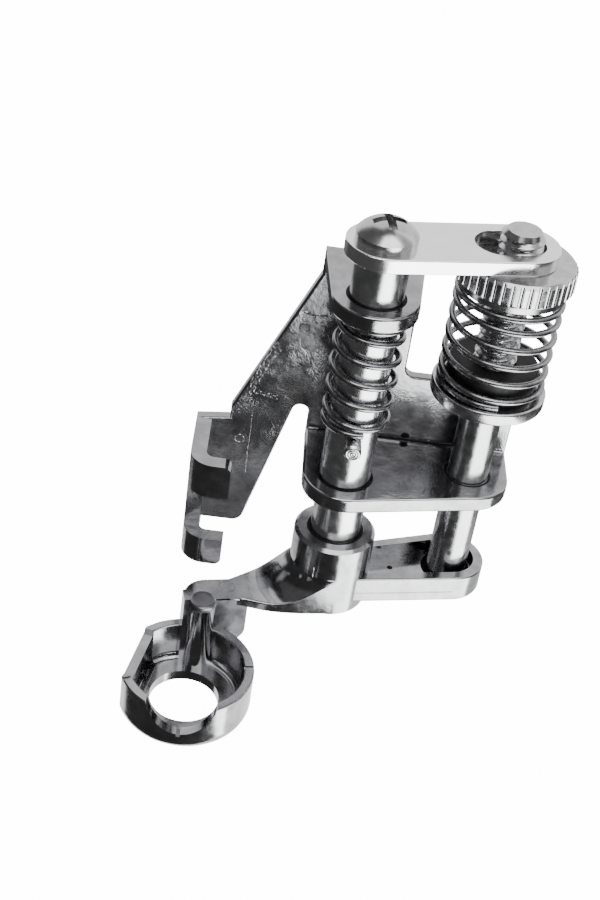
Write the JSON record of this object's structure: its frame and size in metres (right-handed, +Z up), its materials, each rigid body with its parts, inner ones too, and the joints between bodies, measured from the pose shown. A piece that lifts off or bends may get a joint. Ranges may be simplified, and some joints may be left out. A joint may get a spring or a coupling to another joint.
{
  "type": "quilting presser foot",
  "caption": "Spring-loaded quilting foot: a round open cup on a sliding rod, carried by a bracket that hooks on a presser bar, with a knurled nut that sets the cup's height.",
  "frame": {"origin": "where the needle's axis meets the sole of the cup", "axes": "+X to the sewer's right, +Y away from the sewer, +Z up along the needle and the rods"},
  "size_m": [0.0351, 0.0244, 0.0487],
  "materials": {
    "cast_chrome": "chrome plate over a cast surface",
    "polished_chrome": "polished chrome plate on turned steel",
    "spring_wire": "bright drawn steel wire",
    "black_rubber": "dull black rubber"
  },
  "bodies": {
    "bracket": {"mounting_bracket": "cast_chrome", "height_stud": "polished_chrome", "spring_bushing": "black_rubber"},
    "spring_seat": {"nut_spring": "spring_wire"},
    "nut": {"height_nut": "polished_chrome"},
    "foot": {"presser_rod": "polished_chrome", "spring_pin": "polished_chrome", "presser_spring": "spring_wire", "link_plate": "polished_chrome", "link_screw": "polished_chrome", "quilting_foot": "cast_chrome", "foot_set_screw": "spring_wire"}
  },
  "joints": [
    {"name": "height_setting", "type": "slide", "parent": "bracket", "child": "spring_seat", "axis": [0, 0, 1], "range_m": [-0.0021, 0.0007], "deforming": ["nut_spring", "presser_spring"]},
    {"name": "nut_turn", "type": "hinge", "parent": "spring_seat", "child": "nut", "pos_m": [0.02399, 0.0128, 0.0439], "axis": [0, 0, 1], "range_deg": [-1080, 360]},
    {"name": "foot_lift", "type": "slide", "parent": "spring_seat", "child": "foot", "axis": [0, 0, 1], "range_m": [0, 0.0026], "stiffness_N_per_m": 1500, "springref_m": -0.001, "deforming": ["presser_spring"]}
  ],
  "couplings": [
    {"joint": "nut_turn", "follows": "height_setting", "rad_per_m": 8976}
  ]
}
